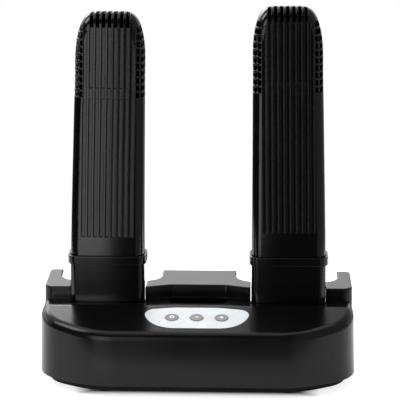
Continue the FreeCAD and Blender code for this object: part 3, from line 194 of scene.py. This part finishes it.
def moulded_plastic(name, base, edge_highlight_and_scuff_colour, roughness, grain, grain_depth, edge_radius=0.5 * MM,
                    edge_highlight_and_scuff_amount=0.35, ior=1.46):
    """Injection-moulded plastic: fine spark texture, uneven sheen, and edges lightened in patches: partly
    scuffing, partly a painted edge highlight.
    """
    material, tree, shader = new_material(name)
    cloud = noise(tree, scale=22.0, detail=4.0)
    # painted edge highlight mixed with scuffing: sharp edges are pushed towards the lighter colour in noisy
    # patches
    patches = spread(tree, noise(tree, scale=160.0), low=0.0, high=edge_highlight_and_scuff_amount)
    edge_highlight_and_scuff = maths(tree, "MULTIPLY", edge_mask(tree, edge_radius), patches)
    tint = blend_colours(tree, spread(tree, cloud, low=0.0, high=1.0), base, shade(base, 1.25))
    sheen = spread(tree, cloud, low=roughness * 0.88, high=roughness * 1.14)
    link(tree, blend_colours(tree, edge_highlight_and_scuff, tint, edge_highlight_and_scuff_colour), shader.inputs["Base Color"])
    link(tree, sheen, shader.inputs["Roughness"])
    bump(tree, shader, noise(tree, scale=grain, detail=2.0), grain_depth,
         normal=soft_edges(tree, edge_radius))
    set_shader(shader, IOR=ior)
    return material


def rubber(name, base, roughness=0.72):
    """Soft rubber: blooming in patches and a coarse matt grain."""
    material, tree, shader = new_material(name)
    bloom = spread(tree, noise(tree, scale=90.0, detail=5.0), low=0.0, high=1.0, start=0.45, end=0.75)
    sheen = spread(tree, noise(tree, scale=300.0), low=roughness - 0.08, high=roughness + 0.1)
    link(tree, blend_colours(tree, bloom, base, shade(base, 1.9)), shader.inputs["Base Color"])
    link(tree, sheen, shader.inputs["Roughness"])
    bump(tree, shader, noise(tree, scale=1800.0, detail=2.0), depth=0.06 * MM,
         normal=soft_edges(tree, 0.4 * MM))
    set_shader(shader, IOR=1.5)
    return material


def metal(name, base, roughness, stretch):
    """Drawn or turned metal: long tool marks in its colour, roughness and height."""
    material, tree, shader = new_material(name)
    marks = noise(tree, scale=220.0, detail=4.0, stretch=stretch)
    tint = blend_colours(tree, spread(tree, marks, low=0.0, high=1.0), base, shade(base, 0.72))
    sheen = spread(tree, marks, low=roughness * 0.8, high=roughness * 1.35)
    link(tree, tint, shader.inputs["Base Color"])
    link(tree, sheen, shader.inputs["Roughness"])
    bump(tree, shader, marks, depth=0.02 * MM, strength=0.6, normal=soft_edges(tree, 0.15 * MM))
    set_shader(shader, Metallic=1.0)
    return material


def foam(name, base):
    """Open-celled foam: a cell pattern with painted shade in its pits, which the same pattern also bumps."""
    material, tree, shader = new_material(name)
    cells = node(tree, "ShaderNodeTexVoronoi", Scale=900.0)
    link(tree, row_coordinates(tree), cells.inputs["Vector"])
    # painted shade: the colour darkens at the cell centres, where the pits are
    painted_pit_shade = spread(tree, cells.outputs["Distance"], low=1.0, high=0.0, start=0.1, end=0.6)
    link(tree, blend_colours(tree, painted_pit_shade, base, grey(0.004)), shader.inputs["Base Color"])
    bump(tree, shader, cells.outputs["Distance"], depth=0.4 * MM)
    set_shader(shader, Roughness=0.95)
    return material


def circuit_board(name):
    """Green solder mask over a grid of copper tracks."""
    material, tree, shader = new_material(name)
    tracks = node(tree, "ShaderNodeTexBrick", Scale=160.0, Mortar_Size=0.035,
                  Color1=colour(0.012, 0.13, 0.045), Color2=colour(0.016, 0.15, 0.055),
                  Mortar=colour(0.04, 0.28, 0.09))
    link(tree, row_coordinates(tree), tracks.inputs["Vector"])
    link(tree, tracks.outputs["Color"], shader.inputs["Base Color"])
    bump(tree, shader, tracks.outputs["Fac"], depth=0.03 * MM, strength=0.8)
    set_shader(shader, Roughness=0.32, IOR=1.5)
    return material


# ---------------------------------------------------------------- the dryer's materials

def case_plastics():
    """Plastics of the outside: dark mouldings, white panel, grey buttons and their marks."""
    black = colour(0.003, 0.003, 0.0032)
    dark_edge_highlight_and_scuff = colour(0.05, 0.05, 0.052)
    # each row's second, lighter colour goes on the moulding's edges in patches: partly scuffing, partly a
    # painted edge highlight
    return {
        "shell_black": dict(base=black, edge_highlight_and_scuff_colour=dark_edge_highlight_and_scuff, roughness=0.2, grain=2600.0,
                            grain_depth=0.008 * MM, edge_radius=0.6 * MM, ior=1.28),
        "arm_black": dict(base=colour(0.0015, 0.0015, 0.0017), edge_highlight_and_scuff_colour=dark_edge_highlight_and_scuff, roughness=0.15, grain=2400.0,
                          grain_depth=0.008 * MM, edge_radius=1.1 * MM, edge_highlight_and_scuff_amount=0.12, ior=1.36),
        "cover_black": dict(base=black, edge_highlight_and_scuff_colour=dark_edge_highlight_and_scuff, roughness=0.55, grain=1500.0,
                            grain_depth=0.04 * MM, ior=1.18),
        "panel_white": dict(base=colour(0.645, 0.68, 0.705), edge_highlight_and_scuff_colour=colour(0.82, 0.83, 0.84), roughness=0.26,
                            grain=2200.0, grain_depth=0.006 * MM, edge_radius=0.3 * MM, edge_highlight_and_scuff_amount=0.7),
        "button_grey": dict(base=colour(0.22, 0.22, 0.225), edge_highlight_and_scuff_colour=colour(0.42, 0.42, 0.43), roughness=0.45,
                            grain=1800.0, grain_depth=0.02 * MM, edge_radius=0.35 * MM, edge_highlight_and_scuff_amount=0.5),
        "mark_white": dict(base=grey(0.9), edge_highlight_and_scuff_colour=grey(1), roughness=0.4, grain=1600.0,
                           grain_depth=0.01 * MM, edge_radius=0.1 * MM),
    }


def inner_plastics():
    """Plastics of the parts inside."""
    edge_highlight_and_scuff = grey(0.2)
    # the lighter edge colour is partly scuffing, partly a painted edge highlight
    return {
        "switch_black": dict(base=grey(0.012), edge_highlight_and_scuff_colour=edge_highlight_and_scuff, roughness=0.45, grain=1500.0,
                             grain_depth=0.03 * MM),
        "fan_black": dict(base=colour(0.01, 0.01, 0.011), edge_highlight_and_scuff_colour=edge_highlight_and_scuff, roughness=0.4, grain=1300.0,
                          grain_depth=0.03 * MM),
        "duct_plastic": dict(base=colour(0.13, 0.13, 0.135), edge_highlight_and_scuff_colour=edge_highlight_and_scuff, roughness=0.5, grain=1200.0,
                             grain_depth=0.04 * MM),
        "heater_plastic": dict(base=colour(0.42, 0.36, 0.26), edge_highlight_and_scuff_colour=edge_highlight_and_scuff, roughness=0.6, grain=900.0,
                               grain_depth=0.06 * MM),
    }


def metals():
    """Metals; the larger the stretch along an axis, the finer the tool marks along it."""
    return {
        "screw_steel": dict(base=colour(0.52, 0.52, 0.54), roughness=0.32, stretch=(1, 1, 4)),
        "pin_steel": dict(base=colour(0.62, 0.62, 0.63), roughness=0.22, stretch=(6, 1, 1)),
        "motor_steel": dict(base=grey(0.5), roughness=0.35, stretch=(1, 1, 8)),
        "heater_bar": dict(base=colour(0.66, 0.67, 0.68), roughness=0.4, stretch=(0.2, 4, 4)),
        "fin_aluminium": dict(base=colour(0.74, 0.75, 0.76), roughness=0.36, stretch=(4, 0.3, 4)),
    }


def make_materials():
    """One material for each of the record's slots, and one for the printed marks."""
    made = {
        "foot_rubber": rubber("foot_rubber", grey(0.008)),
        "gland_rubber": rubber("gland_rubber", grey(0.012), roughness=0.6),
        "seal_foam": foam("seal_foam", colour(0.03, 0.03, 0.032)),
        "board_green": circuit_board("board_green"),
    }
    for name, finish in {**case_plastics(), **inner_plastics()}.items():
        made[name] = moulded_plastic(name, **finish)
    for name, finish in metals().items():
        made[name] = metal(name, **finish)
    return made


def dress_nodes(materials):
    """Give every CAD node its slot's material."""
    for name, item in frame["nodes"].items():
        item.data.materials.clear()
        item.data.materials.append(materials[NODE_SLOTS[name]])


# ---------------------------------------------------------------- printed marks on the buttons

def deck_frame(origin):
    """Matrix of a frame on the sloped deck: x to the right, y up the slope, z out of it."""
    return Matrix.Translation(origin) @ Matrix.Rotation(DECK_SLOPE, 4, "X")


def cap_middle(name):
    """Middle of a button's top face."""
    face_tolerance = 0.02 * MM
    tilt = Matrix.Rotation(-DECK_SLOPE, 4, "X")
    spots = [tilt @ vertex.co for vertex in frame["nodes"][name].data.vertices]
    top = max(spot.z for spot in spots)
    rim = [spot for spot in spots if spot.z > top - face_tolerance]
    x = (min(spot.x for spot in rim) + max(spot.x for spot in rim)) / 2
    y = (min(spot.y for spot in rim) + max(spot.y for spot in rim)) / 2
    return tilt.inverted() @ Vector((x, y, top))


def slab(mesh, outline, low, high):
    """Extrude a closed outline of (x, y) points from one level to another."""
    lower = [mesh.verts.new((x, y, low)) for x, y in outline]
    upper = [mesh.verts.new((x, y, high)) for x, y in outline]
    mesh.faces.new(list(reversed(lower)))
    mesh.faces.new(upper)
    for index in range(len(outline)):
        after = (index + 1) % len(outline)
        mesh.faces.new((lower[index], lower[after], upper[after], upper[index]))


def bar_outline(width, height, y=0.0):
    """Rectangle with rounded corners, centred at x 0 and a given y."""
    corner_steps = 4
    corner_round = min(width, height) * 0.3
    spots = []
    for corner, (side, end) in enumerate(((1, 1), (-1, 1), (-1, -1), (1, -1))):
        for step in range(corner_steps + 1):
            angle = math.radians(90 * (corner + step / corner_steps))
            spots.append((side * (width / 2 - corner_round) + corner_round * math.cos(angle),
                          y + end * (height / 2 - corner_round) + corner_round * math.sin(angle)))
    return spots


def cross_outline(width, line):
    """Plus sign."""
    half, thin = width / 2, line / 2
    return [(thin, -half), (thin, -thin), (half, -thin), (half, thin), (thin, thin), (thin, half),
            (-thin, half), (-thin, thin), (-half, thin), (-half, -thin), (-thin, -thin), (-thin, -half)]


def ring_outline(diameter, line, gap):
    """Ring open at the top."""
    outer, inner = diameter / 2, diameter / 2 - line
    start = math.asin(gap / 2 / outer)
    steps = 40
    turns = [math.radians(90) + start + (2 * math.pi - 2 * start) * n / steps for n in range(steps + 1)]
    far = [(outer * math.cos(t), outer * math.sin(t)) for t in turns]
    near = [(inner * math.cos(t), inner * math.sin(t)) for t in reversed(turns)]
    return far + near


def make_marks(material):
    """White line marks that fill the buttons' recesses and stand a hair proud of them."""
    marks = {
        "power": (ring_outline(RING_DIAMETER, MARK_LINE, RING_GAP),
                  bar_outline(MARK_LINE, RING_BAR_LENGTH, RING_BAR_Y)),
        "minus": (bar_outline(MARK_LENGTH, MARK_LINE),),
        "plus": (cross_outline(MARK_LENGTH, MARK_LINE),),
    }
    for button, outlines in marks.items():
        mesh = bmesh.new()
        for outline in outlines:
            slab(mesh, outline, MARK_LOW, MARK_HIGH)
        bmesh.ops.recalc_face_normals(mesh, faces=mesh.faces)
        data = mesh_data("mark_" + button, mesh)
        data.transform(deck_frame(cap_middle("button_" + button)))
        data.materials.append(material)
        piece = add_object("mark_" + button, data)
        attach(piece, "button_" + button)


# ---------------------------------------------------------------- studio

def floor_material():
    """White paper that glows a little, except under the dryer."""
    material, tree, shader = new_material("floor")
    sheen = spread(tree, noise(tree, scale=40.0), low=0.55, high=0.62)
    link(tree, sheen, shader.inputs["Roughness"])
    parts = node(tree, "ShaderNodeSeparateXYZ")
    link(tree, row_coordinates(tree), parts.inputs["Vector"])
    clear = []
    for axis, start, end in (("X", 0.105, 0.125), ("Y", 0.054, 0.064)):
        distance = maths(tree, "ABSOLUTE", parts.outputs[axis])
        clear.append(spread(tree, distance, low=0.0, high=1.0, start=start, end=end))
    open_floor = maths(tree, "MAXIMUM", *clear)
    glow = spread(tree, open_floor, low=0.0, high=0.75, start=0.0, end=1.0)
    link(tree, glow, shader.inputs["Emission Strength"])
    set_shader(shader, Base_Color=grey(0.93), Specular_IOR_Level=0.1, Emission_Color=grey(1))
    return material


def make_floor():
    """Flat sheet under the dryer that ends a short way in front of it."""
    half_width, front, rear = 0.6, -0.20, 0.40
    corners = ((-half_width, front), (half_width, front), (half_width, rear), (-half_width, rear))
    mesh = bmesh.new()
    mesh.faces.new([mesh.verts.new((x, y, 0.0)) for x, y in corners])
    data = mesh_data("floor", mesh)
    data.materials.append(floor_material())
    floor = add_object("floor", data)


def make_world():
    """White to look at; as a light it is bright behind, dimmer at the right and dark in front."""
    world = bpy.data.worlds.new("studio")
    bpy.context.scene.world = world
    world.use_nodes = True
    tree = world.node_tree
    tree.nodes.clear()
    way = node(tree, "ShaderNodeTexCoord")
    parts = node(tree, "ShaderNodeSeparateXYZ")
    link(tree, way.outputs["Generated"], parts.inputs["Vector"])

    def ramp(axis, start, end, low, high):
        return spread(tree, parts.outputs[axis], low, high, start, end, "SMOOTHSTEP")

    behind = ramp("Y", start=-0.15, end=0.45, low=0.0, high=1.0)
    near_horizon = ramp("Z", start=0.2, end=0.75, low=2.0, high=1.0)
    leftward = ramp("X", start=-0.2, end=0.4, low=1.2, high=0.5)
    above_floor = ramp("Z", start=-0.03, end=0.06, low=0.04, high=1.0)
    for factor in (near_horizon, leftward, above_floor):
        behind = maths(tree, "MULTIPLY", behind, factor)
    right = ramp("X", start=0.12, end=0.45, low=0.04, high=0.5)
    glow = node(tree, "ShaderNodeBackground", Color=grey(1))
    link(tree, maths(tree, "MAXIMUM", behind, right), glow.inputs["Strength"])
    plain = node(tree, "ShaderNodeBackground", Color=grey(1), Strength=1.0)
    seen = node(tree, "ShaderNodeLightPath")
    choice = node(tree, "ShaderNodeMixShader")
    link(tree, seen.outputs["Is Camera Ray"], choice.inputs["Fac"])
    link(tree, glow.outputs["Background"], choice.inputs[1])
    link(tree, plain.outputs["Background"], choice.inputs[2])
    output = node(tree, "ShaderNodeOutputWorld")
    link(tree, choice.outputs["Shader"], output.inputs["Surface"])


def softbox(name, spot, target, width, height, radiance):
    """Rectangular soft light at a point, turned to another one."""
    data = bpy.data.lights.new(name, "AREA")
    data.shape = "RECTANGLE"
    data.size = width
    data.size_y = height
    data.energy = radiance * math.pi * width * height
    lamp = add_object(name, data)
    look_at(lamp, spot, target)
    lamp.visible_camera = False


def make_lights():
    """One soft light overhead and three at the left: in front, beside and behind."""
    low_left = (-0.1, 0.0, 0.1)
    softbox("overhead", spot=(-0.1, 0.1, 1.5), target=(0.0, 0.0, 0.0), width=1.6, height=1.2, radiance=1.4)
    softbox("key_left", spot=(-0.72, -2.1, 0.35), target=(0.0, 0.0, 0.2), width=1.0, height=1.7, radiance=3.2)
    softbox("side_left", spot=(-0.80, -0.16, 1.08), target=low_left, width=0.5, height=0.5, radiance=9.0)
    softbox("back_left", spot=(-0.62, 1.15, 0.98), target=low_left, width=0.9, height=0.45, radiance=6.5)


def make_camera():
    """Long lens, a little above the dryer and slightly to its right."""
    data = bpy.data.cameras.new("camera")
    data.lens = 162.0
    data.sensor_width = 36.0
    camera = add_object("camera", data)
    look_at(camera, spot=(0.057, -1.767, 0.647), target=(0.0022, 0.0, 0.1867))
    bpy.context.scene.camera = camera


# ---------------------------------------------------------------- the whole scene

make_camera()
materials = make_materials()
dress_nodes(materials)
make_marks(materials["mark_white"])
make_floor()
make_world()
make_lights()
bpy.context.scene.view_settings.view_transform = "Standard"
